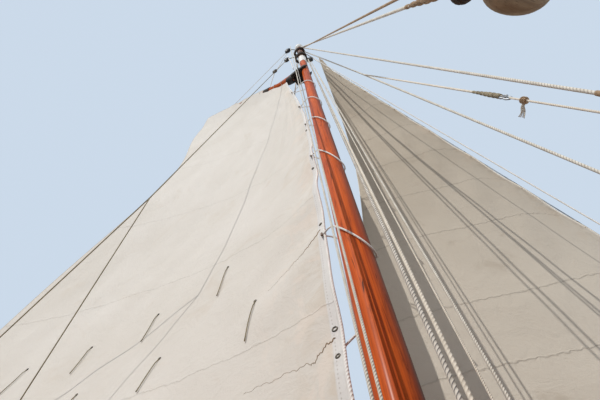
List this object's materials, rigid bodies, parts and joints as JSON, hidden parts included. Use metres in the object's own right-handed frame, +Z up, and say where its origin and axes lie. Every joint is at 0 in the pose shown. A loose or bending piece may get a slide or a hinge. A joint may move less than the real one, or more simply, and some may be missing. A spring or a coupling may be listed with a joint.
{
  "type": "sailing dinghy",
  "caption": "Open lapstrake gaff-rigged sailing dinghy with swinging boom and gaff, hanked jib, bowsprit, hung rudder with tiller and a pivoting centreplate",
  "frame": {"origin": "on the waterline at the centreline, midway along the hull, where the water holds the boat afloat", "axes": "+X towards the bow, +Y to port, +Z up; the waterline is z = 0"},
  "size_m": [6.715, 3.2589, 7.2077],
  "materials": {
    "varnished_hull": "gloss varnish",
    "oak": "satin varnish",
    "pine": "gloss varnish",
    "spar": "gloss varnish",
    "galvanised": "galvanised",
    "bronze": "cast",
    "white_collar": "smooth",
    "leather": "worn",
    "sailcloth": "woven",
    "rope": "laid",
    "deadeye_wood": "oiled"
  },
  "bodies": {
    "hull": {"bench_brackets": "oak", "bobstay": "galvanised", "boom_rest": "oak", "bowsprit": "spar", "bowsprit_bitt": "oak", "breasthook": "oak", "centreboard_case": "pine", "centreboard_pin": "bronze", "chainplates": "galvanised", "cranse_iron": "galvanised", "deadeyes": "deadeye_wood", "floor_bearers": "oak", "floorboards": "pine", "forestay": "rope", "gudgeons": "galvanised", "gunwales": "oak", "inwales": "oak", "jib": "sailcloth", "jib_hanks": "rope", "keel": "oak", "mast": "spar", "mast_band": "galvanised", "mast_collar": "white_collar", "mast_step": "oak", "mast_thwart": "pine", "mast_truck": "white_collar", "middle_thwart": "pine", "ribs": "oak", "risers": "oak", "shrouds": "rope", "stem": "oak", "stern_benches": "pine", "strake_1": "varnished_hull", "strake_2": "varnished_hull", "strake_3": "varnished_hull", "strake_4": "varnished_hull", "strake_5": "varnished_hull", "strake_6": "varnished_hull", "transom": "varnished_hull"},
    "sail": {"boom": "spar", "boom_jaws": "oak", "gaff": "spar", "gaff_jaws": "leather", "gaff_leather": "leather", "mainsail": "sailcloth", "mast_hoops": "rope"},
    "rudder": {"rudder": "varnished_hull", "pintles": "galvanised", "tiller": "oak"},
    "plate": {"centreboard": "galvanised"}
  },
  "joints": [
    {"name": "boom_swing", "type": "hinge", "parent": "hull", "child": "sail", "pos_m": [0.95, 0, 0.7], "axis": [0, 0, 1], "range_deg": [-10, 106]},
    {"name": "rudder_turn", "type": "hinge", "parent": "hull", "child": "rudder", "pos_m": [-2.805, 0, 0], "axis": [-0.1772, 0, 0.9842], "range_deg": [-38, 38]},
    {"name": "centreplate_pivot", "type": "hinge", "parent": "hull", "child": "plate", "pos_m": [0.43, 0, -0.12], "axis": [0, 1, 0], "range_deg": [0, 55]}
  ]
}
